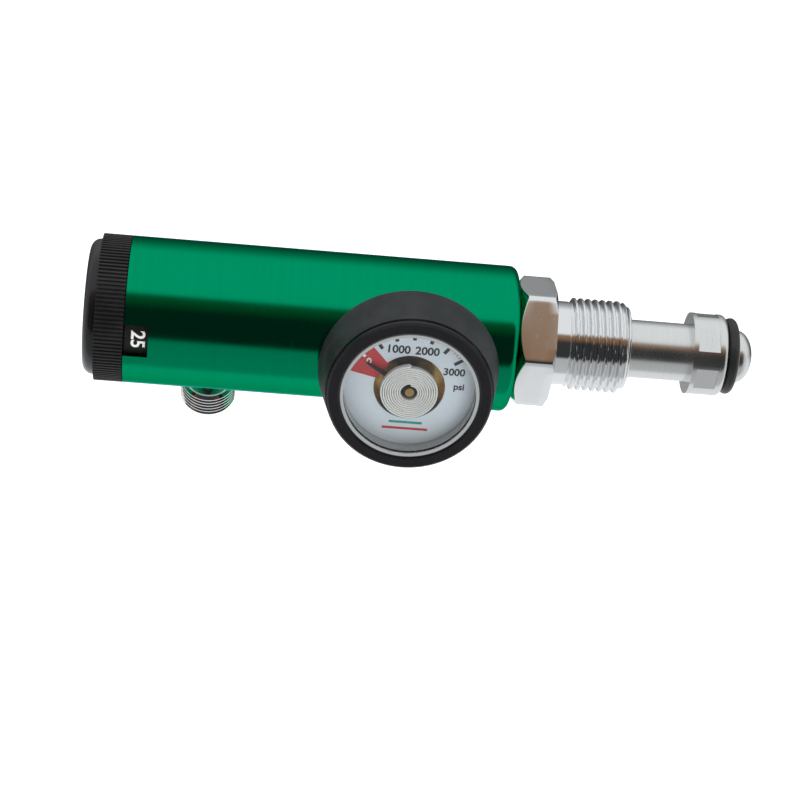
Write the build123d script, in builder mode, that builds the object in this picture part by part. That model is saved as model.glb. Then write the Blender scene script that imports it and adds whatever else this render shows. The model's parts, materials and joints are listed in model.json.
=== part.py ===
from build123d import *

import os
from math import cos, pi, radians, sin, sqrt

# Click-style oxygen regulator with a contents gauge, a threaded side outlet and a bull-nose inlet.
# Millimetres. +X runs along the body's axis towards the cylinder valve, the gauge faces -Y and +Z
# is up, as the regulator hangs on a valve. The origin is on the axis, at the middle of the inlet
# thread. Threads are drawn as grooves at their real pitch, and inner threads as plain cylinders.

# Fits
screwed_gap = 0.08  # radial, a screwed piece in its tapped hole
running_gap = 0.05  # radial, a shaft that turns or slides in its bore
ring_gap = 0.03  # radial, an O-ring against the piece that moves past it
locating_gap = 0.02  # radial, a pressed or cemented piece
turning_gap = 0.2  # between flat faces that turn past each other
groove_side_gap = 0.2  # an O-ring along its groove
cut_margin = 1.0  # how far a cut reaches past the surface it opens

# Inlet nut: a hexagon, a neck and a G 5/8 thread
inlet_thread_radius = 11.4555
inlet_thread_pitch = 1.8143
inlet_thread_crests = 8
thread_land_share = 0.22  # of the pitch
thread_depth_share = 0.64  # of the pitch
nut_flats = 28.575
nut_hex_length = 9.4
nut_hex_angle = 38.3  # from -Y towards +Z, the normal of one flat
nut_inner_chamfer = 2.1
nut_inner_chamfer_slope = 1.4  # radial fall over length
nut_outer_chamfer = 0.9
nut_outer_chamfer_slope = 1.7
nut_neck_radius = 10.4
nut_neck_length = 3.9
nut_lead_length = 0.6
nut_lead_radius = 10.2
slip_ring_length = 2.4
slip_ring_wall = 1.3

# Inlet stem, which the nut turns and slides on
stem_radius = 7.21
stem_travel = 15.5
stem_root_radius = 5.9
stem_root_length = 12.25
stem_spigot_radius = 5.4
stem_spigot_length = 5.25
stem_bore_radius = 2.0
gasket_thickness = 0.8

# Bull nose on the end of the stem
nose_radius = 10.2
nose_collar_length = 1.1
nose_flats = 19.5
nose_flats_angle = 48.3  # from -Y towards +Z, the normal of one flat
nose_flats_length = 5.4
nose_block_length = 7.2
nose_shoulder_length = 1.6
nose_shoulder_radius = 9.0
shoulder_bulge_place = 0.7  # along the shoulder, where its curve is set
shoulder_bulge_fall = 0.35  # of the shoulder's whole fall, at that place
nose_groove_radius = 6.7
nose_groove_length = 2.9
nose_lip_radius = 7.2
nose_lip_length = 0.4
nose_dome_radius = 6.6
nose_dome_length = 4.1
nose_hole_radius = 1.5
nose_ring_section = 1.4  # radius of the O-ring's section
filter_radius = 3.1
filter_length = 6.6
filter_end_gap = 0.1

# Body, in lengths from the inlet end to the knob end
body_radius = 18.1
body_edge_radius = 2.0
gauge_setback = 26.3
high_pressure_tail = 5.0
nozzle_length = 5.0
nozzle_radius = 0.8
guide_length = 13.0
spring_space = 9.5
piston_thickness = 5.0
low_pressure_length = 2.5
flow_head_length = 16.4
knob_recess_depth = 5.8
flow_bore_wall = 3.6
piston_bore_step = 1.5
vent_radius = 0.8
main_spring_turns = 3.5
main_wire_radius = 1.1

# Piston
piston_stem_radius = 4.0
piston_tip_radius = 3.0
piston_tip_length = 4.8
piston_travel = 1.2
piston_gas_radius = 1.2
piston_cross_radius = 0.8
piston_boss_radius = 5.0
seat_radius = 2.0
seat_length = 2.0
small_ring_section = 0.6
large_ring_section = 1.0

# Flow head, orifice plate and their cover
orifice_circle_radius = 8.5
orifice_count = 12
orifice_smallest = 0.15
orifice_largest = 0.9
orifice_passage_radius = 1.0
supply_passage_radius = 1.5
plate_gap = 0.4
plate_thickness = 2.5
plate_rim_gap = 1.0
cover_cavity_wall = 2.3
cover_web = 2.8
collar_gap = 0.8
collar_thickness = 0.5
collar_radius = 4.5
shaft_radius = 3.0
pivot_radius = 2.0
pivot_length = 3.0
face_ring_radius = 2.0
face_ring_stand = 0.25  # out of the flow head's face

# Knob, its number ring and its window
knob_length = 7.0
knob_rib_count = 110
knob_rib_depth = 0.45
rib_root_share = 0.36  # of the rib spacing, from a rib's middle to its root
rib_top_share = 0.16
knob_face_gap = 0.4
window_wall = 1.3
window_length = 5.9
window_width = 8.3
window_angle = 2.0  # from -Y towards +Z
number_ring_wall = 1.7
number_ring_end_gap = 0.15
number_ring_gap = 0.3
cap_edge = 1.4
cap_height = 2.9
cap_rounding = 2.4
cap_spigot_radius = 12.0
cap_spigot_length = 2.4
cap_spigot_wall = 1.5
cap_back_recess = 0.8
screw_radius = 1.5
screw_gap = 0.1
screw_head_radius = 2.8
screw_head_gap = 0.3
screw_head_height = 1.8
screw_socket_radius = 1.25
screw_socket_depth = 1.2
screw_length = 6.0
screw_end_gap = 0.5
shaft_reach = 7.0  # how far the shaft goes into the knob
knob_web = 1.0

# Click detents
detent_circle_radius = 9.0
ball_radius = 1.2
ball_gap = 0.1
ball_clearance = 0.05  # between the held-back ball and the cover
dimple_depth = 0.75  # of its drill point
detent_pocket_depth = 5.9
detent_count = 2
detent_spring_radius = 0.85
detent_wire_radius = 0.2
detent_spring_turns = 5

# Side outlet: a 9/16-18 gas thread
outlet_angle = 60.0  # below +Y
outlet_thread_radius = 7.144
outlet_thread_pitch = 1.4111
outlet_thread_crests = 6
outlet_reach = 20.1  # from the body's surface to the tip
outlet_lead_length = 0.7
outlet_lead_fall = 1.3
outlet_neck_radius = 4.6
outlet_spigot_radius = 3.95
outlet_flange_radius = 6.3
outlet_flange_length = 2.2
spot_face_radius = 6.6
spot_face_relief = 0.05
outlet_socket_depth = 2.9  # of the spigot's hole in the flow head
outlet_chamber_radius = 2.9
outlet_passage_radius = 1.8
outlet_seal_radius = 2.2
outlet_mouth_radius = 3.6
outlet_mouth_depth = 7.2
valve_seat_length = 2.0
valve_seat_radius = 1.9
poppet_radius = 2.6
poppet_thickness = 1.2
poppet_stem_radius = 1.2
poppet_stem_setback = 0.2  # of the stem's end behind the mouth's bottom
poppet_spring_length = 8.0
poppet_spring_radius = 2.1
poppet_wire_radius = 0.3
poppet_spring_turns = 6
retainer_thickness = 1.0

# Contents gauge, in distances from its back
gauge_standoff = 2.3
bezel_radius = 19.7
bezel_wall = 1.2
bezel_edge = 0.5
bezel_lens_gap = 0.1
bezel_back_gap = 0.1
boot_wall = 1.5
boot_flare = 1.8
boot_rim = 0.6
boot_depth = 11.3
boot_wall_back = 1.4
boot_hole_radius = 8.0
gauge_depth = 13.2
case_wall = 2.1
case_wall_back = 1.2
dial_ledge = 1.2
dial_depth = 7.8  # from the boot's back to the dial's back
dial_thickness = 0.5
dial_hole_radius = 8.5
lens_depth = 11.6
lens_thickness = 0.8
lens_seat = 0.8
lens_ring_thickness = 0.4
lens_ring_width = 0.7
cup_rim = 0.9  # round the dial's hole
cup_wall = 0.8
cup_base = 1.2
cup_dial_gap = 0.1
post_radius = 1.1
post_depth = 10.9
coil_radius = 7.15
coil_inner_radius = 1.9
coil_depth = 11.2
coil_thickness = 1.7
coil_pitch = 0.55
coil_slot = 0.16
coil_slot_depth = 0.9
coil_recess = 0.8
pointer_depth = 8.8
pointer_thickness = 0.4
pointer_hub_radius = 2.6
pointer_hub_overlap = 0.5
pointer_length = 12.4
pointer_root_width = 1.5
pointer_tip_width = 0.5
pointer_angle = -60.0  # from +Z, clockwise as seen from the front
gauge_thread_radius = 4.8
gauge_thread_reach = 8.4
gauge_thread_end_gap = 0.3
gauge_bore_radius = 0.7
gauge_passage_radius = 1.2
gauge_square = 10.0
gauge_square_gap = 0.15

# Places along X, from the nut to the cap
thread_half = inlet_thread_crests * inlet_thread_pitch / 2
nut_end = thread_half + nut_lead_length
neck_x = -thread_half - nut_neck_length
hex_x = neck_x - nut_hex_length
body_right = hex_x - turning_gap
nose_x = nut_end + stem_travel + turning_gap
port_bottom = body_right - stem_root_length - gasket_thickness
gauge_x = body_right - gauge_setback
high_pressure_end = gauge_x - high_pressure_tail
nozzle_face = high_pressure_end - nozzle_length
guide_end = nozzle_face - guide_length
piston_front = guide_end - spring_space
piston_back = piston_front - piston_thickness
flow_shoulder = piston_back - low_pressure_length
flow_face = flow_shoulder - flow_head_length
outlet_x = (flow_shoulder + flow_face) / 2
plate_right = flow_face - plate_gap
plate_left = plate_right - plate_thickness
web_right = plate_left - collar_gap
cover_left = web_right - cover_web
spigot_right = cover_left - knob_face_gap
body_left = cover_left - knob_recess_depth
knob_right = body_left - turning_gap
knob_left = knob_right - knob_length
cap_left = knob_left - cap_height

# Radii that follow from the body's
flow_bore_radius = body_radius - flow_bore_wall
piston_bore_radius = flow_bore_radius - piston_bore_step
recess_radius = body_radius - window_wall
cover_radius = flow_bore_radius - screwed_gap
cavity_radius = cover_radius - cover_cavity_wall
number_ring_radius = recess_radius - number_ring_gap
knob_spigot_radius = number_ring_radius - number_ring_wall
guide_radius = piston_stem_radius + running_gap
shaft_bore_radius = shaft_radius + running_gap

# Directions and working planes. In each, local x is the axis and local y a radius.
outlet_direction = (0, cos(radians(outlet_angle)), -sin(radians(outlet_angle)))
outlet_normal = (0, -sin(radians(outlet_angle)), -cos(radians(outlet_angle)))
main_plane = Plane.XY
outlet_plane = Plane(origin=(outlet_x, 0, 0), x_dir=outlet_direction, z_dir=outlet_normal)
gauge_plane = Plane(origin=(gauge_x, 0, 0), x_dir=(0, -1, 0), z_dir=(0, 0, 1))

# Distances along the outlet, from the body's axis
outlet_seat = flow_bore_radius - outlet_socket_depth
outlet_spigot_start = outlet_seat + gasket_thickness
spot_face = sqrt(body_radius**2 - spot_face_radius**2) - spot_face_relief
outlet_tip = body_radius + outlet_reach
outlet_thread_length = outlet_thread_crests * outlet_thread_pitch
outlet_thread_start = outlet_tip - outlet_lead_length - outlet_thread_length
outlet_shoulder = outlet_thread_start - outlet_lead_length
outlet_mouth_bottom = outlet_tip - outlet_mouth_depth
valve_seat_face = outlet_mouth_bottom - valve_seat_length
poppet_back = valve_seat_face - poppet_thickness
retainer_front = poppet_back - poppet_spring_length

# Radii of the gauge, from the bezel inwards
case_radius = bezel_radius - bezel_wall
lens_radius = case_radius - case_wall
case_inner_radius = lens_radius - lens_seat
bezel_opening = lens_radius + bezel_lens_gap
boot_front_radius = case_radius + boot_wall
boot_back_radius = boot_front_radius + boot_flare
cup_radius = dial_hole_radius + cup_rim

# Distances along the gauge's axis, from the body's axis
gauge_back = body_radius + gauge_standoff
boot_front = gauge_back + boot_depth
gauge_front = gauge_back + gauge_depth
case_back = gauge_back + boot_wall_back
case_floor = case_back + case_wall_back
dial_back = gauge_back + dial_depth
dial_front = dial_back + dial_thickness
lens_back = gauge_back + lens_depth
lens_front = lens_back + lens_thickness
lens_ring_front = lens_front + lens_ring_thickness
pointer_back = gauge_back + pointer_depth
coil_front = gauge_back + coil_depth
coil_back = coil_front - coil_thickness
post_front = gauge_back + post_depth
gauge_thread_start = body_radius - gauge_thread_reach
gauge_square_start = body_radius + gauge_square_gap
gauge_stem_start = gauge_thread_start + gauge_thread_end_gap


def turned(plane, outline, mode=Mode.ADD):
    """Turns a closed outline of (distance along x, radius) points about the plane's x axis."""
    with BuildSketch(plane) as face:
        with BuildLine():
            Polyline(*outline, close=True)
        make_face()
    revolve(face.sketch, axis=Axis(plane.origin, plane.x_dir), mode=mode)


def tube(plane, start, end, outer, inner=0.0, mode=Mode.ADD):
    """Turns a plain cylinder or tube between two distances along the plane's x axis."""
    turned(plane, [(start, inner), (end, inner), (end, outer), (start, outer)], mode)


def thread_outline(start, pitch, crests, crest_radius):
    """The crest side of a thread drawn as grooves: points from the first root to the last."""
    root_radius = crest_radius - thread_depth_share * pitch
    land = thread_land_share * pitch
    points = [(start, root_radius)]
    for crest in range(crests):
        middle = start + (crest + 0.5) * pitch
        points.append((middle - land / 2, crest_radius))
        points.append((middle + land / 2, crest_radius))
        points.append((middle + pitch / 2, root_radius))
    return points


def o_ring(plane, middle, ring_radius, section_radius):
    """Turns an O-ring whose section's centre is at ring_radius."""
    with BuildSketch(plane) as section:
        with Locations((middle, ring_radius)):
            Circle(section_radius)
    revolve(section.sketch, axis=Axis(plane.origin, plane.x_dir))


def coil_spring(plane, start, end, mean_radius, wire_radius, turns):
    """Sweeps a helical spring about the plane's x axis, its wire kept inside start and end."""
    first = start + wire_radius + locating_gap
    height = end - start - 2 * (wire_radius + locating_gap)
    with BuildLine() as path:
        Helix(pitch=height / turns, height=height, radius=mean_radius,
              center=plane.origin + plane.x_dir * first, direction=plane.x_dir)
    with BuildSketch(Plane(origin=path.line @ 0, z_dir=path.line % 0)) as section:
        Circle(wire_radius)
    sweep(section.sketch, path=path.line, is_frenet=True)


def cut_six_flats(start, end, flats, flat_angle):
    """Cuts a bar along X to a hexagon, with one flat's normal at flat_angle from -Y towards +Z."""
    across = Plane(origin=(start, 0, 0), x_dir=(0, -1, 0), z_dir=(1, 0, 0))
    with BuildSketch(across) as section:
        Circle(2 * flats)
        RegularPolygon(flats / 2, 6, major_radius=False, rotation=30 - flat_angle,
                       mode=Mode.SUBTRACT)
    extrude(section.sketch, amount=end - start, mode=Mode.SUBTRACT)


def around_axis(radius, angle, x):
    """A point at a radius from the X axis, at an angle from +Y towards +Z."""
    return (x, radius * cos(radians(angle)), radius * sin(radians(angle)))


def side_hole(x, radius, angle, reach_from, reach_to, mode=Mode.SUBTRACT):
    """A round hole, square to the X axis, at an angle from +Y towards +Z."""
    direction = (0, cos(radians(angle)), sin(radians(angle)))
    start = Plane(origin=around_axis(reach_from, angle, x), z_dir=direction)
    with BuildSketch(start) as section:
        Circle(radius)
    extrude(section.sketch, amount=reach_to - reach_from, mode=mode)


def axial_hole(radius, at_radius, angle, right, left):
    """A round hole parallel to the X axis, from x = right to x = left."""
    start = Plane(origin=around_axis(at_radius, angle, right), z_dir=(-1, 0, 0))
    with BuildSketch(start) as section:
        Circle(radius)
    extrude(section.sketch, amount=right - left, mode=Mode.SUBTRACT)


os.makedirs("parts", exist_ok=True)
finished = []


def finish(part, name):
    """Labels a piece and writes it to its own STEP file."""
    part.label = name
    export_step(part, "parts/" + name + ".step")
    finished.append(name)


# ---- Body ----

recess_floor = cover_left + 2 * number_ring_gap
guide_groove_middle = guide_end + guide_length / 2
guide_groove_radius = guide_radius + ring_gap + 2 * small_ring_section
small_groove_width = 2 * small_ring_section + groove_side_gap

with BuildPart() as body:
    turned(
        main_plane,
        [
            (body_right, stem_root_radius + screwed_gap),
            (body_right, body_radius),
            (body_left, body_radius),
            (body_left, recess_radius),
            (recess_floor, recess_radius),
            (recess_floor, flow_bore_radius),
            (flow_shoulder, flow_bore_radius),
            (flow_shoulder, piston_bore_radius),
            (guide_end, piston_bore_radius),
            (guide_end, guide_radius),
            (nozzle_face, guide_radius),
            (nozzle_face, nozzle_radius),
            (high_pressure_end, nozzle_radius),
            (high_pressure_end, stem_bore_radius),
            (port_bottom, stem_bore_radius),
            (port_bottom, stem_root_radius + screwed_gap),
        ],
    )
    widest_edges = body.edges().filter_by(GeomType.CIRCLE).group_by(SortBy.RADIUS)[-1]
    fillet(widest_edges.sort_by(Axis.X)[-1], radius=body_edge_radius)
    tube(
        main_plane,
        guide_groove_middle - small_groove_width / 2,
        guide_groove_middle + small_groove_width / 2,
        guide_groove_radius,
        guide_radius - cut_margin,
        Mode.SUBTRACT,
    )
    tube(gauge_plane, gauge_thread_start, body_radius + cut_margin,
         gauge_thread_radius + screwed_gap, mode=Mode.SUBTRACT)
    tube(gauge_plane, 0, gauge_thread_start + cut_margin, gauge_passage_radius, mode=Mode.SUBTRACT)
    tube(outlet_plane, flow_bore_radius - cut_margin, body_radius,
         outlet_spigot_radius + screwed_gap, mode=Mode.SUBTRACT)
    tube(outlet_plane, spot_face, body_radius + cut_margin, spot_face_radius, mode=Mode.SUBTRACT)
    side_hole(guide_end - spring_space / 2, vent_radius, -90, piston_bore_radius - cut_margin,
              body_radius + cut_margin)
    window_plane = Plane(
        origin=around_axis(recess_radius - cut_margin, 180 - window_angle, body_left),
        x_dir=(1, 0, 0),
        z_dir=(0, -cos(radians(window_angle)), sin(radians(window_angle))),
    )
    with BuildSketch(window_plane):
        with Locations(((window_length - cut_margin) / 2, 0)):
            Rectangle(window_length + cut_margin, window_width)
    extrude(amount=window_wall + 2 * cut_margin, mode=Mode.SUBTRACT)
finish(body.part, "body")

# ---- Inlet ----

with BuildPart() as inlet_stem:
    turned(
        main_plane,
        [
            (body_right - stem_root_length, stem_bore_radius),
            (body_right - stem_root_length, stem_root_radius),
            (body_right, stem_root_radius),
            (body_right, stem_radius),
            (nose_x, stem_radius),
            (nose_x, stem_spigot_radius),
            (nose_x + stem_spigot_length, stem_spigot_radius),
            (nose_x + stem_spigot_length, stem_bore_radius),
        ],
    )
finish(inlet_stem.part, "inlet_stem")

with BuildPart() as inlet_seal:
    tube(main_plane, port_bottom, port_bottom + gasket_thickness, stem_root_radius,
         stem_bore_radius)
finish(inlet_seal.part, "inlet_seal")

nose_gasket_x = nose_x + stem_spigot_length
filter_x = nose_gasket_x + gasket_thickness
nose_block_end = nose_x + nose_block_length
nose_groove_x = nose_block_end + nose_shoulder_length
nose_lip_x = nose_groove_x + nose_groove_length
nose_dome_x = nose_lip_x + nose_lip_length

with BuildPart() as inlet_nose:
    with BuildSketch(main_plane):
        with BuildLine():
            Polyline(
                (nose_dome_x + nose_dome_length, 0),
                (nose_x, 0),
                (nose_x, nose_radius),
                (nose_block_end, nose_radius),
            )
            ThreePointArc(
                (nose_block_end, nose_radius),
                (nose_block_end + nose_shoulder_length * shoulder_bulge_place,
                 nose_radius - (nose_radius - nose_shoulder_radius) * shoulder_bulge_fall),
                (nose_groove_x, nose_shoulder_radius),
            )
            Polyline(
                (nose_groove_x, nose_shoulder_radius),
                (nose_groove_x, nose_groove_radius),
                (nose_lip_x, nose_groove_radius),
                (nose_lip_x, nose_lip_radius),
                (nose_dome_x, nose_dome_radius),
            )
            EllipticalCenterArc((nose_dome_x, 0), nose_dome_length, nose_dome_radius,
                                start_angle=0, arc_size=90)
        make_face()
    revolve(axis=Axis.X)
    flats_x = nose_x + nose_collar_length
    cut_six_flats(flats_x, flats_x + nose_flats_length, nose_flats, nose_flats_angle)
    tube(main_plane, nose_x, filter_x, stem_spigot_radius + screwed_gap, mode=Mode.SUBTRACT)
    tube(main_plane, nose_x, filter_x + filter_length + filter_end_gap,
         filter_radius + running_gap, mode=Mode.SUBTRACT)
    tube(main_plane, nose_x, nose_dome_x + nose_dome_length + cut_margin, nose_hole_radius,
         mode=Mode.SUBTRACT)
finish(inlet_nose.part, "inlet_nose")

with BuildPart() as nose_gasket:
    tube(main_plane, nose_gasket_x, filter_x, stem_spigot_radius, stem_bore_radius)
finish(nose_gasket.part, "nose_gasket")

with BuildPart() as inlet_filter:
    tube(main_plane, filter_x, filter_x + filter_length, filter_radius)
finish(inlet_filter.part, "inlet_filter")

with BuildPart() as nose_o_ring:
    o_ring(main_plane, nose_groove_x + nose_groove_length / 2,
           nose_groove_radius + nose_ring_section + locating_gap, nose_ring_section)
finish(nose_o_ring.part, "nose_o_ring")

slip_ring_inner = stem_radius + running_gap
slip_ring_outer = slip_ring_inner + slip_ring_wall
slip_ring_x = hex_x + running_gap

with BuildPart() as inlet_nut:
    turned(
        main_plane,
        [
            (hex_x, slip_ring_outer + running_gap),
            (hex_x, nut_flats),
            (neck_x, nut_flats),
            (neck_x, nut_neck_radius),
        ]
        + thread_outline(-thread_half, inlet_thread_pitch, inlet_thread_crests, inlet_thread_radius)
        + [
            (nut_end, nut_lead_radius),
            (nut_end, slip_ring_inner),
            (slip_ring_x + slip_ring_length + running_gap, slip_ring_inner),
            (slip_ring_x + slip_ring_length + running_gap, slip_ring_outer + running_gap),
        ],
    )
    cut_six_flats(hex_x, neck_x, nut_flats, nut_hex_angle)
    nut_corner_radius = nut_flats / sqrt(3)
    turned(
        main_plane,
        [
            (hex_x, nut_corner_radius - nut_inner_chamfer * nut_inner_chamfer_slope),
            (hex_x, nut_flats),
            (hex_x + nut_inner_chamfer, nut_flats),
            (hex_x + nut_inner_chamfer, nut_corner_radius),
        ],
        Mode.SUBTRACT,
    )
    turned(
        main_plane,
        [
            (neck_x, nut_corner_radius - nut_outer_chamfer * nut_outer_chamfer_slope),
            (neck_x, nut_flats),
            (neck_x - nut_outer_chamfer, nut_flats),
            (neck_x - nut_outer_chamfer, nut_corner_radius),
        ],
        Mode.SUBTRACT,
    )
finish(inlet_nut.part, "inlet_nut")

with BuildPart() as nut_slip_ring:
    tube(main_plane, slip_ring_x, slip_ring_x + slip_ring_length, slip_ring_outer, slip_ring_inner)
finish(nut_slip_ring.part, "nut_slip_ring")

# ---- Pressure reducing piston ----

piston_radius = piston_bore_radius - running_gap
tip_x = nozzle_face - piston_travel - running_gap
tip_shoulder_x = tip_x - piston_tip_length
piston_groove_middle = (piston_front + piston_back) / 2
piston_groove_floor = piston_bore_radius - ring_gap - 2 * large_ring_section
large_groove_width = 2 * large_ring_section + groove_side_gap
boss_back = flow_shoulder + turning_gap

with BuildPart() as piston:
    turned(
        main_plane,
        [
            (tip_x, seat_radius + locating_gap),
            (tip_x, piston_tip_radius),
            (tip_shoulder_x, piston_tip_radius),
            (tip_shoulder_x, piston_stem_radius),
            (piston_front, piston_stem_radius),
            (piston_front, piston_radius),
            (piston_groove_middle + large_groove_width / 2, piston_radius),
            (piston_groove_middle + large_groove_width / 2, piston_groove_floor - locating_gap),
            (piston_groove_middle - large_groove_width / 2, piston_groove_floor - locating_gap),
            (piston_groove_middle - large_groove_width / 2, piston_radius),
            (piston_back, piston_radius),
            (piston_back, piston_boss_radius),
            (boss_back, piston_boss_radius),
            (boss_back, piston_gas_radius),
            (tip_shoulder_x + piston_gas_radius, piston_gas_radius),
            (tip_shoulder_x + piston_gas_radius, 0),
            (tip_x - seat_length, 0),
            (tip_x - seat_length, seat_radius + locating_gap),
        ],
    )
    side_hole(tip_shoulder_x + piston_gas_radius, piston_cross_radius, 0,
              -piston_tip_radius - cut_margin, piston_tip_radius + cut_margin)
finish(piston.part, "piston")

with BuildPart() as piston_seat:
    tube(main_plane, tip_x - seat_length, tip_x, seat_radius)
finish(piston_seat.part, "piston_seat")

with BuildPart() as piston_head_o_ring:
    o_ring(main_plane, piston_groove_middle, piston_groove_floor + large_ring_section,
           large_ring_section)
finish(piston_head_o_ring.part, "piston_head_o_ring")

with BuildPart() as piston_stem_o_ring:
    o_ring(main_plane, guide_groove_middle, piston_stem_radius + ring_gap + small_ring_section,
           small_ring_section)
finish(piston_stem_o_ring.part, "piston_stem_o_ring")

main_spring_radius = (piston_bore_radius + piston_stem_radius) / 2

with BuildPart() as main_spring:
    coil_spring(main_plane, piston_front, guide_end, main_spring_radius, main_wire_radius,
                main_spring_turns)
finish(main_spring.part, "main_spring")

# ---- Flow head and orifice plate ----

flow_head_radius = flow_bore_radius - screwed_gap
seal_groove_floor = flow_bore_radius - 2 * large_ring_section
seal_edge = (outlet_spigot_radius + flow_head_length / 2) / 2
seal_middles = [outlet_x + seal_edge, outlet_x - seal_edge]
outlet_hole_angle = -outlet_angle
passage_bottom = orifice_circle_radius - orifice_passage_radius

with BuildPart() as flow_head:
    tube(main_plane, flow_face, flow_shoulder, flow_head_radius)
    for seal_middle in seal_middles:
        tube(
            main_plane,
            seal_middle - large_groove_width / 2,
            seal_middle + large_groove_width / 2,
            body_radius,
            seal_groove_floor - locating_gap,
            Mode.SUBTRACT,
        )
    tube(main_plane, flow_face - cut_margin, flow_face + pivot_length + turning_gap,
         pivot_radius + running_gap, mode=Mode.SUBTRACT)
    axial_hole(orifice_passage_radius, orifice_circle_radius, outlet_hole_angle, outlet_x,
               flow_face - cut_margin)
    axial_hole(supply_passage_radius, orifice_circle_radius, outlet_hole_angle + 180,
               flow_shoulder + cut_margin, flow_face - cut_margin)
    tube(outlet_plane, passage_bottom, outlet_seat + cut_margin, outlet_passage_radius,
         mode=Mode.SUBTRACT)
    tube(outlet_plane, outlet_seat, body_radius, outlet_spigot_radius + screwed_gap,
         mode=Mode.SUBTRACT)
    face_ring_centre = around_axis(orifice_circle_radius, outlet_hole_angle, flow_face)
    face_ring_plane = Plane(origin=face_ring_centre, x_dir=(-1, 0, 0), z_dir=(0, 0, 1))
    tube(
        face_ring_plane,
        face_ring_stand - 2 * small_ring_section,
        cut_margin,
        face_ring_radius + small_ring_section + locating_gap,
        face_ring_radius - small_ring_section - locating_gap,
        Mode.SUBTRACT,
    )
finish(flow_head.part, "flow_head")

with BuildPart() as flow_head_o_rings:
    for seal_middle in seal_middles:
        o_ring(main_plane, seal_middle, seal_groove_floor + large_ring_section - locating_gap / 2,
               large_ring_section - locating_gap / 2)
finish(flow_head_o_rings.part, "flow_head_o_rings")

with BuildPart() as orifice_seal:
    o_ring(face_ring_plane, face_ring_stand - small_ring_section, face_ring_radius,
           small_ring_section)
finish(orifice_seal.part, "orifice_seal")

plate_radius = cavity_radius - plate_rim_gap
with BuildPart() as orifice_plate:
    tube(main_plane, plate_left, plate_right, plate_radius, shaft_radius + locating_gap)
    for position in range(orifice_count - 1):
        share = position / (orifice_count - 2)
        axial_hole(
            orifice_largest - share * (orifice_largest - orifice_smallest),
            orifice_circle_radius,
            outlet_hole_angle + position * 360 / orifice_count,
            plate_right + cut_margin,
            plate_left - cut_margin,
        )
finish(orifice_plate.part, "orifice_plate")

cover_groove_middle = (web_right + cover_left) / 2
cover_groove_radius = shaft_radius + ring_gap + 2 * small_ring_section + locating_gap
dimple_radius = ball_radius + ball_gap

with BuildPart() as end_cover:
    turned(
        main_plane,
        [
            (flow_face, cavity_radius),
            (flow_face, cover_radius),
            (cover_left, cover_radius),
            (cover_left, shaft_bore_radius),
            (cover_groove_middle - small_groove_width / 2, shaft_bore_radius),
            (cover_groove_middle - small_groove_width / 2, cover_groove_radius),
            (cover_groove_middle + small_groove_width / 2, cover_groove_radius),
            (cover_groove_middle + small_groove_width / 2, shaft_bore_radius),
            (web_right, shaft_bore_radius),
            (web_right, cavity_radius),
        ],
    )
    for click in range(orifice_count):
        dimple_centre = around_axis(detent_circle_radius, click * 360 / orifice_count, cover_left)
        dimple_plane = Plane(origin=dimple_centre, x_dir=(1, 0, 0), z_dir=(0, 0, 1))
        turned(
            dimple_plane,
            [(-cut_margin, 0), (-cut_margin, dimple_radius), (0, dimple_radius), (dimple_depth, 0)],
            Mode.SUBTRACT,
        )
finish(end_cover.part, "end_cover")

with BuildPart() as shaft_o_ring:
    o_ring(main_plane, cover_groove_middle, shaft_radius + ring_gap + small_ring_section,
           small_ring_section)
finish(shaft_o_ring.part, "shaft_o_ring")

# ---- Knob ----

shaft_left = spigot_right - shaft_reach
web_left = shaft_left - knob_web
screw_hole_end = shaft_left + screw_length

with BuildPart() as selector_shaft:
    turned(
        main_plane,
        [
            (flow_face + pivot_length, 0),
            (flow_face + pivot_length, pivot_radius),
            (flow_face - turning_gap, pivot_radius),
            (flow_face - turning_gap, shaft_radius),
            (plate_left, shaft_radius),
            (plate_left, collar_radius),
            (plate_left - collar_thickness, collar_radius),
            (plate_left - collar_thickness, shaft_radius),
            (shaft_left, shaft_radius),
            (shaft_left, screw_radius + locating_gap),
            (screw_hole_end, screw_radius + locating_gap),
            (screw_hole_end, 0),
        ],
    )
finish(selector_shaft.part, "selector_shaft")

detent_angles = [index * 360 / detent_count for index in range(detent_count)]
rib_step = 2 * pi / knob_rib_count
root_radius = body_radius - knob_rib_depth
rib_corners = [
    (-rib_root_share, root_radius),
    (-rib_top_share, body_radius),
    (rib_top_share, body_radius),
    (rib_root_share, root_radius),
]
rib_points = []
for rib in range(knob_rib_count):
    for share, radius in rib_corners:
        angle = (rib + share) * rib_step
        rib_points.append((radius * cos(angle), radius * sin(angle)))

with BuildPart() as knob:
    with BuildSketch(Plane(origin=(knob_right, 0, 0), x_dir=(0, 1, 0), z_dir=(-1, 0, 0))):
        with BuildLine():
            Polyline(*rib_points, close=True)
        make_face()
    extrude(amount=knob_length)
    tube(main_plane, knob_right, spigot_right, knob_spigot_radius)
    tube(main_plane, shaft_left, spigot_right + cut_margin, shaft_radius + locating_gap,
         mode=Mode.SUBTRACT)
    tube(main_plane, knob_left, shaft_left, screw_radius + screw_gap, mode=Mode.SUBTRACT)
    tube(main_plane, knob_left - cut_margin, web_left, screw_head_radius + screw_head_gap,
         mode=Mode.SUBTRACT)
    tube(main_plane, knob_left - cut_margin, knob_left + cap_spigot_length, cap_spigot_radius,
         mode=Mode.SUBTRACT)
    for detent_angle in detent_angles:
        axial_hole(ball_radius + ball_gap, detent_circle_radius, detent_angle,
                   spigot_right + cut_margin, spigot_right - detent_pocket_depth)
finish(knob.part, "knob")

with BuildPart() as number_ring:
    tube(
        main_plane,
        body_left + number_ring_end_gap,
        cover_left + number_ring_gap,
        number_ring_radius,
        knob_spigot_radius + locating_gap,
    )
finish(number_ring.part, "number_ring")

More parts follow.
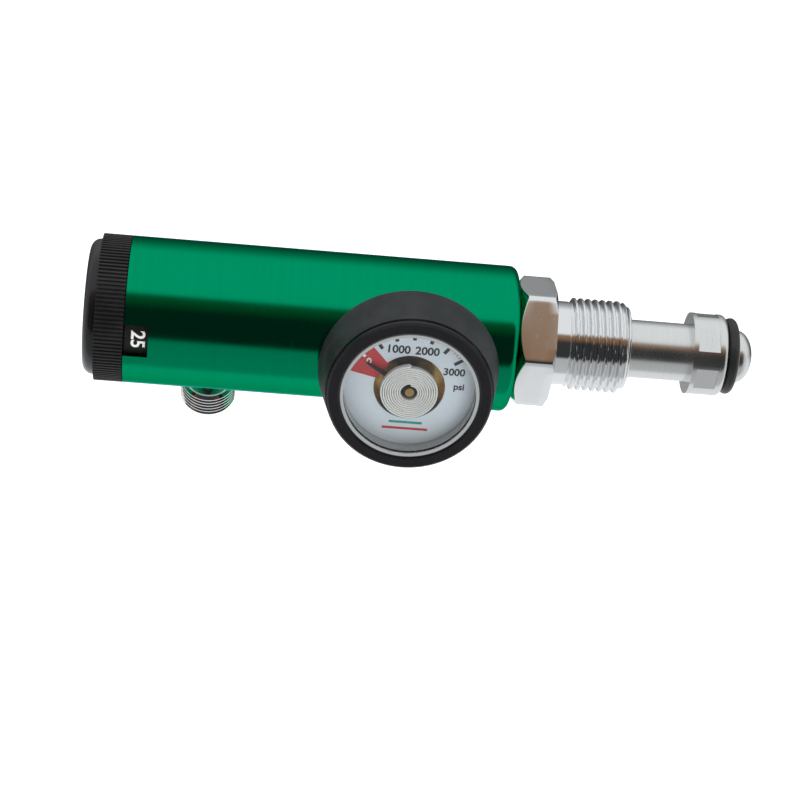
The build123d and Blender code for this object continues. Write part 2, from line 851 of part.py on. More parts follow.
with BuildPart() as knob_screw:
    tube(main_plane, web_left, screw_hole_end - screw_end_gap, screw_radius)
    tube(main_plane, web_left - screw_head_height, web_left, screw_head_radius)
    with BuildSketch(Plane(origin=(web_left - screw_head_height, 0, 0), z_dir=(1, 0, 0))):
        RegularPolygon(screw_socket_radius, 6, major_radius=False)
    extrude(amount=screw_socket_depth, mode=Mode.SUBTRACT)
finish(knob_screw.part, "knob_screw")

with BuildPart() as knob_cap:
    tube(main_plane, cap_left, knob_left, body_radius - cap_edge)
    fillet(knob_cap.edges().filter_by(GeomType.CIRCLE).group_by(Axis.X)[0], radius=cap_rounding)
    tube(main_plane, knob_left, knob_left + cap_spigot_length, cap_spigot_radius - locating_gap)
    tube(main_plane, knob_left - cap_back_recess, knob_left + cap_spigot_length,
         cap_spigot_radius - cap_spigot_wall, mode=Mode.SUBTRACT)
finish(knob_cap.part, "knob_cap")

ball_x = cover_left - ball_clearance - ball_radius
with BuildPart() as detent_balls:
    for detent_angle in detent_angles:
        with Locations(around_axis(detent_circle_radius, detent_angle, ball_x)):
            Sphere(ball_radius)
finish(detent_balls.part, "detent_balls")

with BuildPart() as detent_springs:
    for detent_angle in detent_angles:
        spring_plane = Plane(origin=around_axis(detent_circle_radius, detent_angle, 0),
                             x_dir=(1, 0, 0), z_dir=(0, 0, 1))
        coil_spring(spring_plane, spigot_right - detent_pocket_depth, ball_x - ball_radius,
                    detent_spring_radius, detent_wire_radius, detent_spring_turns)
finish(detent_springs.part, "detent_springs")

# ---- Side outlet ----

with BuildPart() as outlet_fitting:
    turned(
        outlet_plane,
        [
            (outlet_spigot_start, outlet_chamber_radius),
            (outlet_spigot_start, outlet_spigot_radius),
            (spot_face, outlet_spigot_radius),
            (spot_face, outlet_flange_radius),
            (spot_face + outlet_flange_length, outlet_flange_radius),
            (spot_face + outlet_flange_length, outlet_neck_radius),
            (outlet_shoulder, outlet_neck_radius),
            (outlet_shoulder, outlet_thread_radius - thread_depth_share * outlet_thread_pitch),
        ]
        + thread_outline(outlet_thread_start, outlet_thread_pitch, outlet_thread_crests,
                         outlet_thread_radius)
        + [
            (outlet_tip, outlet_thread_radius - outlet_lead_fall),
            (outlet_tip, outlet_mouth_radius),
            (outlet_mouth_bottom, outlet_mouth_radius),
            (outlet_mouth_bottom, valve_seat_radius),
            (valve_seat_face, valve_seat_radius),
            (valve_seat_face, outlet_chamber_radius),
        ],
    )
finish(outlet_fitting.part, "outlet_fitting")

with BuildPart() as outlet_seal:
    tube(outlet_plane, outlet_seat, outlet_spigot_start, outlet_spigot_radius, outlet_seal_radius)
finish(outlet_seal.part, "outlet_seal")

with BuildPart() as outlet_poppet:
    tube(outlet_plane, poppet_back, valve_seat_face - ring_gap, poppet_radius)
    tube(outlet_plane, valve_seat_face - ring_gap, outlet_mouth_bottom - poppet_stem_setback,
         poppet_stem_radius)
finish(outlet_poppet.part, "outlet_poppet")

with BuildPart() as outlet_poppet_spring:
    coil_spring(outlet_plane, retainer_front, poppet_back, poppet_spring_radius,
                poppet_wire_radius, poppet_spring_turns)
finish(outlet_poppet_spring.part, "outlet_poppet_spring")

with BuildPart() as outlet_spring_retainer:
    tube(outlet_plane, retainer_front - retainer_thickness, retainer_front,
         outlet_chamber_radius - locating_gap, poppet_stem_radius)
finish(outlet_spring_retainer.part, "outlet_spring_retainer")

# ---- Contents gauge ----

with BuildPart() as gauge_stem:
    turned(
        gauge_plane,
        [
            (gauge_stem_start, gauge_bore_radius),
            (gauge_stem_start, gauge_thread_radius),
            (case_floor, gauge_thread_radius),
            (case_floor, cup_radius),
            (dial_back - cup_dial_gap, cup_radius),
            (dial_back - cup_dial_gap, cup_radius - cup_wall),
            (case_floor + cup_base, cup_radius - cup_wall),
            (case_floor + cup_base, post_radius),
            (post_front, post_radius),
            (post_front, 0),
            (case_floor + cup_base, 0),
            (case_floor + cup_base, gauge_bore_radius),
        ],
    )
    with BuildSketch(Plane(origin=(gauge_x, -gauge_square_start, 0), z_dir=(0, -1, 0))):
        Rectangle(gauge_square, gauge_square)
    extrude(amount=case_back - gauge_square_start)
    tube(gauge_plane, gauge_thread_start, case_floor, gauge_bore_radius, mode=Mode.SUBTRACT)
finish(gauge_stem.part, "gauge_stem")

with BuildPart() as gauge_boot:
    turned(
        gauge_plane,
        [
            (gauge_back, boot_hole_radius),
            (gauge_back, boot_back_radius - boot_rim),
            (gauge_back + boot_rim, boot_back_radius),
            (boot_front, boot_front_radius),
            (boot_front, case_radius + locating_gap),
            (case_back, case_radius + locating_gap),
            (case_back, boot_hole_radius),
        ],
    )
finish(gauge_boot.part, "gauge_boot")

with BuildPart() as gauge_case:
    turned(
        gauge_plane,
        [
            (case_back, gauge_thread_radius + locating_gap),
            (case_back, case_radius),
            (lens_ring_front, case_radius),
            (lens_ring_front, lens_radius + locating_gap),
            (lens_back, lens_radius + locating_gap),
            (lens_back, case_inner_radius),
            (dial_back, case_inner_radius),
            (dial_back, case_inner_radius - dial_ledge),
            (case_floor, case_inner_radius - dial_ledge),
            (case_floor, gauge_thread_radius + locating_gap),
        ],
    )
finish(gauge_case.part, "gauge_case")

with BuildPart() as gauge_bezel:
    turned(
        gauge_plane,
        [
            (lens_ring_front, bezel_opening),
            (lens_ring_front, case_radius + locating_gap),
            (boot_front + bezel_back_gap, case_radius + locating_gap),
            (boot_front + bezel_back_gap, bezel_radius),
            (gauge_front - bezel_edge, bezel_radius),
            (gauge_front, bezel_radius - bezel_edge),
            (gauge_front, bezel_opening + bezel_edge),
        ],
    )
finish(gauge_bezel.part, "gauge_bezel")

with BuildPart() as gauge_lens_ring:
    tube(gauge_plane, lens_front, lens_ring_front, lens_radius, lens_radius - lens_ring_width)
finish(gauge_lens_ring.part, "gauge_lens_ring")

with BuildPart() as gauge_lens:
    tube(gauge_plane, lens_back, lens_front, lens_radius)
finish(gauge_lens.part, "gauge_lens")

with BuildPart() as gauge_dial:
    tube(gauge_plane, dial_back, dial_front, case_inner_radius - locating_gap, dial_hole_radius)
finish(gauge_dial.part, "gauge_dial")

coil_turns = int((coil_radius - coil_inner_radius) / coil_pitch)
with BuildPart() as gauge_coil:
    tube(gauge_plane, coil_back, coil_front, coil_radius, post_radius + locating_gap)
    tube(gauge_plane, coil_front - coil_recess, coil_front + cut_margin, coil_inner_radius,
         mode=Mode.SUBTRACT)
    for turn in range(coil_turns):
        slot_radius = coil_inner_radius + (turn + 1) * coil_pitch - coil_slot
        tube(gauge_plane, coil_front - coil_slot_depth, coil_front + cut_margin,
             slot_radius + coil_slot, slot_radius, Mode.SUBTRACT)
finish(gauge_coil.part, "gauge_coil")

pointer_direction = (sin(radians(pointer_angle)), 0, cos(radians(pointer_angle)))
with BuildPart() as gauge_pointer:
    tube(gauge_plane, pointer_back, pointer_back + pointer_thickness, pointer_hub_radius,
         post_radius + running_gap)
    pointer_plane = Plane(origin=(gauge_x, -pointer_back, 0), x_dir=pointer_direction,
                          z_dir=(0, -1, 0))
    with BuildSketch(pointer_plane):
        with BuildLine():
            Polyline(
                (pointer_hub_radius - pointer_hub_overlap, -pointer_root_width / 2),
                (pointer_length, -pointer_tip_width / 2),
                (pointer_length, pointer_tip_width / 2),
                (pointer_hub_radius - pointer_hub_overlap, pointer_root_width / 2),
                close=True,
            )
        make_face()
    extrude(amount=pointer_thickness)
finish(gauge_pointer.part, "gauge_pointer")

print(len(finished), "pieces, body from", round(body_left, 2), "to", round(body_right, 2))
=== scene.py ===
"""A click-style oxygen regulator: flow knob, contents gauge, side outlet and sliding inlet nut."""
import json
import logging
import math
from dataclasses import dataclass
from enum import Enum

import bpy
import bmesh
import numpy as np
from mathutils import Matrix, Vector

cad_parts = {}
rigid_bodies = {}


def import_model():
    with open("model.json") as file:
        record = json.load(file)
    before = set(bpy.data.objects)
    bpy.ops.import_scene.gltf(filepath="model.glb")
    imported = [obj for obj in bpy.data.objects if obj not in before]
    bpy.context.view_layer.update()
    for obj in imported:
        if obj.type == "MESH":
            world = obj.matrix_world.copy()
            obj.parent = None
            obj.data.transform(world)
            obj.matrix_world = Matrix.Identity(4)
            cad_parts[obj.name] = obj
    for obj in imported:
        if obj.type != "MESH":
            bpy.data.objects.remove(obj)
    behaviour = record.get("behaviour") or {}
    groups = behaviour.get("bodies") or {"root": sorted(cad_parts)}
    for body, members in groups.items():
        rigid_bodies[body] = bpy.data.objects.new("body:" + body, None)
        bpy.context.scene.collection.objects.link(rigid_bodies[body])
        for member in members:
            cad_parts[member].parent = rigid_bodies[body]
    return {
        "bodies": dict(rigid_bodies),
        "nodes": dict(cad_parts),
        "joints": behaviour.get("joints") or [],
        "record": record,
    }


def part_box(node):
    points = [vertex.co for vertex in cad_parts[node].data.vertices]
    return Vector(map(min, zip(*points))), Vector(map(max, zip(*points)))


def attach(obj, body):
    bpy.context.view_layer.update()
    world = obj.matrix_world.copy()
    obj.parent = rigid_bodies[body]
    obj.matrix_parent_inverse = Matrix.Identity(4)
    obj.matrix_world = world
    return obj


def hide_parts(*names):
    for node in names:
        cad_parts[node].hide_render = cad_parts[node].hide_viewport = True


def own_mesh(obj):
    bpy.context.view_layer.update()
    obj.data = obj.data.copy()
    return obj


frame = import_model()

MM = 0.001
MERGE = 1e-6  # points nearer than this become one, in metres
SHARP_ABOVE = 35  # edges that bend more than this stay sharp, in degrees
LONGEST = 0.16  # the figures' longest edge before they are wrapped, in parts of the text's size
Colour = tuple[float, float, float]
Sheet = tuple[np.ndarray, np.ndarray]  # points, then the faces that join them
log = logging.getLogger("regulator")


# ---------------------------------------------------------------- shader wiring


class Wire:
    """One socket of a material, or a number, with arithmetic that adds Math nodes."""

    def __init__(self, board: "Board", socket: bpy.types.NodeSocket) -> None:
        """Keeps the node board and the socket.

        Args:
            board: the board that the socket's node stands on.
            socket: an output socket.
        """
        self.board = board
        self.socket = socket

    def sum_of(self, operation: str, *values: "Wire | float", clamp: bool = False) -> "Wire":
        """Adds one Math node.

        Args:
            operation: the Math node's operation.
            values: its inputs, in order.
            clamp: keeps the result from 0 to 1.

        Returns:
            The node's result.
        """
        settings = {"operation": operation, "use_clamp": clamp}
        return self.board.node("ShaderNodeMath", settings, dict(enumerate(values)))

    def __add__(self, other: "Wire | float") -> "Wire":
        """Self plus other."""
        return self.sum_of("ADD", self, other)

    def __radd__(self, other: "Wire | float") -> "Wire":
        """Other plus self."""
        return self.sum_of("ADD", other, self)

    def __sub__(self, other: "Wire | float") -> "Wire":
        """Self minus other."""
        return self.sum_of("SUBTRACT", self, other)

    def __rsub__(self, other: "Wire | float") -> "Wire":
        """Other minus self."""
        return self.sum_of("SUBTRACT", other, self)

    def __mul__(self, other: "Wire | float") -> "Wire":
        """Self times other."""
        return self.sum_of("MULTIPLY", self, other)

    def __rmul__(self, other: "Wire | float") -> "Wire":
        """Other times self."""
        return self.sum_of("MULTIPLY", other, self)

    def __truediv__(self, other: "Wire | float") -> "Wire":
        """Self over other."""
        return self.sum_of("DIVIDE", self, other)

    def __pow__(self, other: "Wire | float") -> "Wire":
        """Self to the power of other."""
        return self.sum_of("POWER", self, other)

    def above(self, limit: float, spread: float) -> "Wire":
        """Rises from 0 at the limit to 1 one spread above it."""
        return self.sum_of("MULTIPLY", self - limit, 1.0 / spread, clamp=True)


class Board:
    """The node board of a material or a world, which wires its surface."""

    def __init__(self, owner: bpy.types.Material | bpy.types.World, output: str) -> None:
        """Clears the owner's nodes and adds its output.

        Args:
            owner: a material or a world.
            output: the output node's type.
        """
        owner.use_nodes = True
        self.owner = owner
        self.tree = owner.node_tree
        self.tree.nodes.clear()
        self.out = self.tree.nodes.new(output)

    @classmethod
    def of_material(cls, name: str) -> "Board":
        """The board of a new material."""
        return cls(bpy.data.materials.new(name), "ShaderNodeOutputMaterial")

    def node(
        self, kind: str, settings: dict, inputs: dict, output: int | str = 0
    ) -> Wire:
        """Adds any node: first its settings, then its sockets' values or links.

        Args:
            kind: the node's type.
            settings: attributes of the node; "stops" holds a ramp's (place, colour) pairs.
            inputs: socket name or number, with a value or a Wire.
            output: which output comes back.

        Returns:
            The chosen output.
        """
        made = self.tree.nodes.new(kind)
        for key, value in settings.items():
            if key == "stops":
                ramp = made.color_ramp
                while len(ramp.elements) < len(value):
                    ramp.elements.new(0.5)
                for element, (place, colour) in zip(ramp.elements, value):
                    element.position = place
                    element.color = (*colour, 1.0)
            else:
                setattr(made, key, value)
        for key, value in inputs.items():
            socket = made.inputs[key]
            if isinstance(value, Wire):
                self.tree.links.new(value.socket, socket)
            elif isinstance(value, tuple) and socket.type == "RGBA" and len(value) == 3:
                socket.default_value = (*value, 1.0)
            else:
                socket.default_value = value
        return Wire(self, made.outputs[output])

    def blend(
        self, share: "Wire | float", first: "Wire | Colour", second: "Wire | Colour"
    ) -> Wire:
        """Mixes two colours by a share from 0 to 1."""
        values = {0: share, 6: first, 7: second}
        return self.node("ShaderNodeMix", {"data_type": "RGBA"}, values, 2)

    def places(self, centre: Vector = Vector(), along: Vector = Vector((1, 0, 0))) -> Wire:
        """Object coordinates in millimetres, with X along a piece's axis.

        Args:
            centre: a point of the axis, in metres.
            along: the axis' direction.

        Returns:
            The coordinates.
        """
        seat = self.node("ShaderNodeTexCoord", {}, {}, "Object")
        turn = tuple(along.to_track_quat("X", "Z").to_euler())
        values = {"Vector": seat, "Location": tuple(centre), "Rotation": turn, "Scale": (MM,) * 3}
        return self.node("ShaderNodeMapping", {"vector_type": "TEXTURE"}, values)

    def split(self, places: Wire) -> tuple[Wire, Wire, Wire]:
        """The three coordinates of a vector."""
        return tuple(self.node("ShaderNodeSeparateXYZ", {}, {0: places}, k) for k in range(3))

    def parts(self, places: Wire) -> tuple[Wire, Wire, Wire, Wire]:
        """The three coordinates, and the distance from the X axis."""
        x, y, z = self.split(places)
        return x, y, z, (y * y + z * z) ** 0.5

    def noise(self, places: Wire, scale: float, detail: float = 3.0) -> Wire:
        """Even noise, with its scale in waves per millimetre."""
        values = {"Vector": places, "Scale": scale, "Detail": detail}
        return self.node("ShaderNodeTexNoise", {}, values)

    def rings(self, place: Wire, scale: float, detail: float = 3.0) -> Wire:
        """Noise along one line, which makes fine rings on a turned piece."""
        values = {"W": place, "Scale": scale, "Detail": detail}
        return self.node("ShaderNodeTexNoise", {"noise_dimensions": "1D"}, values)

    def nicks(self, places: Wire, scale: float, size: float) -> Wire:
        """Small scattered spots: 1 where a cell's centre is nearer than size.

        Args:
            places: the coordinates.
            scale: cells per millimetre.
            size: the spots' radius, in cells.

        Returns:
            1 in a spot, 0 elsewhere, with soft edges.
        """
        near = self.node("ShaderNodeTexVoronoi", {}, {"Vector": places, "Scale": scale})
        kept = self.noise(places, scale * 0.37, 1.0).above(0.56, 0.05)
        return (size - near).above(0.0, size * 0.5) * kept

    def relief(self, height: Wire, depth: float) -> Wire:
        """A Bump node; depth is the height in metres."""
        values = {"Height": height, "Distance": depth, "Strength": 1.0}
        return self.node("ShaderNodeBump", {}, values)

    def surface(self, **values: object) -> bpy.types.Material:
        """Wires the Principled shader; underscores stand for spaces.

        Args:
            values: socket names and their values or links.

        Returns:
            The finished material.
        """
        named = {key.replace("_", " "): value for key, value in values.items()}
        return self.shown(self.node("ShaderNodeBsdfPrincipled", {}, named))

    def shown(self, shader: Wire) -> bpy.types.Material | bpy.types.World:
        """Links a shader to the output, and gives back the material or world."""
        self.tree.links.new(shader.socket, self.out.inputs["Surface"])
        return self.owner


class Line(Enum):
    """The axes that pieces were turned about."""

    BODY = "body"
    GAUGE = "gauge"
    OUTLET = "outlet"


@dataclass(frozen=True)
class Axis:
    """A line in the object: a point on it, in metres, and its direction."""

    centre: Vector
    along: Vector


# ---------------------------------------------------------------- finishes


@dataclass(frozen=True)
class TurnedMetal:
    """Metal from the lathe: rings, smudges, hairline scratches and a few nicks.

    Attributes are colours, the roughness, rings per millimetre, their depth in metres, how much the
    smudges and nicks show, how metallic it is, and the tint of its edges.
    """

    name: str
    colour: Colour
    worn: Colour
    roughness: float
    ring_scale: float = 6.0
    ring_depth: float = 1.5e-6
    smudge: float = 0.08
    nick_scale: float = 0.35
    nick_size: float = 0.05
    tint: float = 0.12
    metal: float = 1.0
    edge: Colour = (1.0, 1.0, 1.0)

    def make(self, axis: Axis) -> bpy.types.Material:
        """Builds the finish on an axis.

        Args:
            axis: the line that the piece was turned about.

        Returns:
            The material.
        """
        board = Board.of_material(self.name)
        places = board.places(axis.centre, axis.along)
        x, y, z, radius = board.parts(places)
        rings = board.rings(x + radius, self.ring_scale)
        wide = board.rings(x + radius, self.ring_scale * 0.12, 1.0)
        smudges = board.noise(places, 0.12, 4.0)
        hairs = board.noise(self._combed(board, x, y, z), 1.0, 2.0).above(0.68, 0.04)
        nicks = board.nicks(places, self.nick_scale, self.nick_size)
        shade = (rings - 0.5) * self.tint + (wide - 0.5) * self.tint + 0.5
        dark = tuple(0.72 * c for c in self.colour)
        light = tuple(min(1.0, 1.28 * c) for c in self.colour)
        base = board.blend(shade, dark, light)
        base = board.blend(nicks, base, self.worn)
        rough = (rings - 0.5) * self.smudge + (smudges - 0.5) * self.smudge * 1.6 + self.roughness
        rough = rough + hairs * 0.10 + nicks * 0.18
        height = rings + wide * 0.8 - hairs * 0.5 - nicks * 2.0
        return board.surface(
            Base_Color=base, Metallic=self.metal, Roughness=rough, Specular_Tint=self.edge,
            Normal=board.relief(height, self.ring_depth),
        )

    @staticmethod
    def _combed(board: Board, x: Wire, y: Wire, z: Wire) -> Wire:
        """Coordinates drawn out across the axis, which turn noise into hairlines."""
        values = {0: x * 2.5 + y * 0.5, 1: y * 0.35 + z * 0.25, 2: z * 0.3 - x * 0.2}
        return board.node("ShaderNodeCombineXYZ", {}, values)


@dataclass(frozen=True)
class Moulded:
    """Moulded plastic or rubber: fine grain, flow marks, faint dust and handling shine.

    Attributes are colours, the roughness, grains per millimetre, their depth in metres, the share
    of dust, the clear coat and how strongly the surface mirrors.
    """

    name: str
    colour: Colour
    dusty: Colour
    roughness: float
    grain_scale: float = 9.0
    grain_depth: float = 6e-6
    dust: float = 0.25
    coat: float = 0.0
    gloss: float = 0.35

    def make(self, axis: Axis) -> bpy.types.Material:
        """Builds the finish on an axis.

        Args:
            axis: the line that the piece stands on.

        Returns:
            The material.
        """
        board = Board.of_material(self.name)
        places = board.places(axis.centre, axis.along)
        grain = board.noise(places, self.grain_scale, 3.0)
        flow = board.noise(places, 0.18, 4.0)
        specks = board.nicks(places, 1.4, 0.11)
        base = board.blend(flow.above(0.42, 0.4) * self.dust, self.colour, self.dusty)
        base = board.blend(specks * 0.5, base, self.dusty)
        rough = (grain - 0.5) * 0.16 + (flow - 0.5) * 0.18 + self.roughness + specks * 0.2
        height = grain + board.noise(places, self.grain_scale * 0.3, 2.0) * 0.7
        return board.surface(
            Base_Color=base, Roughness=rough, Coat_Weight=self.coat, Coat_Roughness=0.06,
            Specular_IOR_Level=self.gloss,
            Normal=board.relief(height, self.grain_depth),
        )


@dataclass(frozen=True)
class Sintered:
    """Bronze balls pressed together: cells with dark gaps, a painted shade in the pores between the
    balls.
    """

    name: str = "sintered_bronze_cells"
    colour: Colour = (0.42, 0.22, 0.09)
    # painted shade: the dark colour of the pores between the balls
    gap: Colour = (0.05, 0.025, 0.01)

    def make(self, axis: Axis) -> bpy.types.Material:
        """Builds the finish."""
        board = Board.of_material(self.name)
        cells = board.node("ShaderNodeTexVoronoi", {}, {"Vector": board.places(), "Scale": 3.0})
        # painted shade: darker away from each cell's middle, in the pores between the balls
        base = board.blend(cells.above(0.25, 0.4), self.colour, self.gap)
        return board.surface(
            Base_Color=base, Metallic=1.0, Roughness=cells * 0.3 + 0.3,
            Normal=board.relief(1.0 - cells, 8e-5),
        )


@dataclass(frozen=True)
class DialMetal:
    """The dial's satin silver paint with fine metal flakes, and painted shade that darkens it
    towards the rim.
    """

    name: str = "dial_satin_silver"
    colour: Colour = (0.74, 0.80, 0.87)
    # painted shade: the colour the silver darkens to at the rim, as if shaded by the case wall;
    # edge is the radius in millimetres that scales it
    rim: Colour = (0.55, 0.61, 0.67)
    edge: float = 15.6

    def make(self, axis: Axis) -> bpy.types.Material:
        """Builds the finish on the gauge's axis."""
        board = Board.of_material(self.name)
        places = board.places(axis.centre, axis.along)
        radius = board.parts(places)[3]
        flakes = board.noise(places, 14.0, 2.0)
        # painted shade: darker towards the rim with the cube of the radius, plus flakes that vary
        # the tone at random
        share = (radius / self.edge) ** 3.0 * 0.6 + (flakes - 0.5) * 0.35
        base = board.blend(share, self.colour, self.rim)
        return board.surface(
            Base_Color=base, Metallic=0.25, Roughness=(flakes - 0.5) * 0.2 + 0.42,
            Normal=board.relief(flakes, 4e-6),
        )


@dataclass(frozen=True)
class ClearLens:
    """Clear plastic with faint wipe marks: it mirrors a little, and more at a flat angle.

    The share that mirrors is a small part plus the fifth power of one less the slant's cosine, the
    same on both sides of each face, so that the lens stays clear from everywhere.
    """

    name: str = "clear_lens_plastic"

    def make(self, axis: Axis) -> bpy.types.Material:
        """Builds the finish on the gauge's axis."""
        board = Board.of_material(self.name)
        places = board.places(axis.centre, axis.along)
        wipes = board.noise(places, 0.3, 4.0)
        bent = board.relief(wipes, 2e-6)
        clear = board.node("ShaderNodeBsdfTransparent", {}, {"Color": (0.96, 0.97, 0.97)})
        values = {"Color": (1.0, 1.0, 1.0), "Roughness": wipes * 0.05 + 0.01, "Normal": bent}
        gloss = board.node("ShaderNodeBsdfAnisotropic", {}, values)
        slant = board.node("ShaderNodeLayerWeight", {}, {"Blend": 0.5}, "Facing")
        share = slant ** 5.0 * 0.9 + 0.03
        return board.shown(board.node("ShaderNodeMixShader", {}, {0: share, 1: clear, 2: gloss}))


@dataclass(frozen=True)
class Ink:
    """Printing ink with slightly uneven cover."""

    name: str
    colour: Colour

    def make(self, axis: Axis) -> bpy.types.Material:
        """Builds the finish on an axis."""
        board = Board.of_material(self.name)
        cover = board.noise(board.places(axis.centre, axis.along), 5.0, 3.0)
        thin = tuple(0.85 * c + 0.03 for c in self.colour)
        base = board.blend(cover, self.colour, thin)
        return board.surface(Base_Color=base, Roughness=cover * 0.2 + 0.4)


# ---------------------------------------------------------------- meshes


def woven(name: str, points: np.ndarray, looped: bool = False) -> bpy.types.Object:
    """Makes an object of a grid that closes round: each cell joins four neighbouring points.

    Args:
        name: the object's name.
        points: rows x columns x 3 points, in millimetres; the last column joins the first.
        looped: the last row joins the first, too.

    Returns:
        The object, with doubles merged, faces outward and corners over 35 degrees sharp.
    """
    rows, columns = points.shape[:2]
    number = np.arange(rows * columns).reshape(rows, columns)
    number = np.concatenate([number, number[:, :1]], axis=1)
    if looped:
        number = np.concatenate([number, number[:1]], axis=0)
    cells = (number[:-1, :-1], number[:-1, 1:], number[1:, 1:], number[1:, :-1])
    mesh = bpy.data.meshes.new(name)
    mesh.from_pydata(points.reshape(-1, 3) * MM, [], np.stack(cells, axis=-1).reshape(-1, 4))
    work = bmesh.new()
    work.from_mesh(mesh)
    bmesh.ops.remove_doubles(work, verts=work.verts, dist=MERGE)
    bmesh.ops.dissolve_degenerate(work, edges=work.edges, dist=MERGE * 0.1)
    bmesh.ops.recalc_face_normals(work, faces=work.faces)
    work.to_mesh(mesh)
    work.free()
    mesh.polygons.foreach_set("use_smooth", np.ones(len(mesh.polygons), bool))
    mesh.set_sharp_from_angle(angle=math.radians(SHARP_ABOVE))
    piece = bpy.data.objects.new(name, mesh)
    bpy.context.scene.collection.objects.link(piece)
    return piece


def placed(
    piece: bpy.types.Object, body: str, finish: bpy.types.Material
) -> bpy.types.Object:
    """Dresses a piece, makes it ride its body and reports it.

    Args:
        piece: the piece, in place.
        body: the body that it moves with.
        finish: its material.

    Returns:
        The same piece.
    """
    piece.data.materials.clear()
    piece.data.materials.append(finish)
    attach(piece, body)
    log.info("%s rides %s, %d faces", piece.name, body, len(piece.data.polygons))
    return piece


def lettering(words: str, height: float, weight: float) -> Sheet:
    """Flat figures as triangles, centred on the origin.

    Args:
        words: what to write.
        height: the figures' height, in millimetres.
        weight: how far the outline is thickened, in parts of the height.

    Returns:
        Points (n x 2, millimetres) and triangles (m x 3), facing up.
    """
    curve = bpy.data.curves.new("figures", "FONT")
    curve.body = words
    curve.offset = weight
    curve.resolution_u = 4
    carrier = bpy.data.objects.new("figures", curve)
    bpy.context.scene.collection.objects.link(carrier)
    bpy.context.view_layer.update()
    seen = carrier.evaluated_get(bpy.context.evaluated_depsgraph_get())
    flat = bpy.data.meshes.new_from_object(seen)
    work = bmesh.new()
    work.from_mesh(flat)
    bmesh.ops.remove_doubles(work, verts=work.verts, dist=1e-5)
    bmesh.ops.triangulate(work, faces=work.faces)
    for _ in range(4):
        long_edges = [edge for edge in work.edges if edge.calc_length() > LONGEST]
        if long_edges:
            bmesh.ops.subdivide_edges(work, edges=long_edges, cuts=1)
            bmesh.ops.triangulate(work, faces=work.faces)
    work.to_mesh(flat)
    work.free()
    points = np.zeros(len(flat.vertices) * 3)
    flat.vertices.foreach_get("co", points)
    corners = np.zeros(len(flat.polygons) * 3, int)
    flat.polygons.foreach_get("vertices", corners)
    points = points.reshape(-1, 3)[:, :2]
    low, high = points.min(0), points.max(0)
    points = (points - (low + high) / 2) * (height / (high[1] - low[1]))
    bpy.data.objects.remove(carrier)
    bpy.data.meshes.remove(flat)
    return points, corners.reshape(-1, 3)


def printed(name: str, sheets: list[Sheet], depth: float) -> bpy.types.Object:
    """Joins thin flat shapes in one object and gives them a thickness behind their face.

    Args:
        name: the object's name.
        sheets: points (n x 3, millimetres) and faces for each shape.
        depth: the ink's thickness, in millimetres.

    Returns:
        The linked object.
    """
    counts = np.cumsum([0] + [len(points) for points, _ in sheets])
    faces = [row for (_, cells), start in zip(sheets, counts) for row in (cells + start).tolist()]
    mesh = bpy.data.meshes.new(name)
    mesh.from_pydata(np.concatenate([points for points, _ in sheets]) * MM, [], faces)
    mesh.update()
    piece = bpy.data.objects.new(name, mesh)
    bpy.context.scene.collection.objects.link(piece)
    wall = piece.modifiers.new("ink", "SOLIDIFY")
    wall.thickness, wall.offset = depth * MM, -1.0
    return piece


# ---------------------------------------------------------------- sub-assemblies


@dataclass
class FlowFigures:
    """The flow figures round the number ring, one for each click, in millimetres and degrees."""

    flows: tuple[str, ...] = ("25", "15", "10", "8", "6", "4", "3", "2", "1.5", "1", "0.5", "0")
    height: float = 3.5
    height_small: float = 2.9
    first: float = 2.0
    click: float = 30.0
    lift: float = 0.03
    nearer_rim: float = 0.35

    def build(self, finish: bpy.types.Material) -> bpy.types.Object:
        """Wraps each figure round the ring: its width runs down the ring, its tops face the gauge.

        A point (u, v) of a figure goes to the angle of the figure minus u over the radius, and to
        the ring's middle plus v along the axis.

        Args:
            finish: the figures' paint.

        Returns:
            The piece.
        """
        low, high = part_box("number_ring")
        radius = (high.z - low.z) / 2 / MM + self.lift
        middle = (low.x + high.x) / 2 / MM + self.nearer_rim
        sheets = []
        for number, flow in enumerate(self.flows):
            height = self.height_small if "." in flow else self.height
            flat, cells = lettering(flow, height, 0.02)
            angle = math.radians(self.first + self.click * number) - flat[:, 0] / radius
            around = (-radius * np.cos(angle), radius * np.sin(angle))
            sheets.append((np.stack([middle + flat[:, 1], *around], axis=-1), cells))
        return placed(printed("flow_figures", sheets, 0.02), "selector", finish)


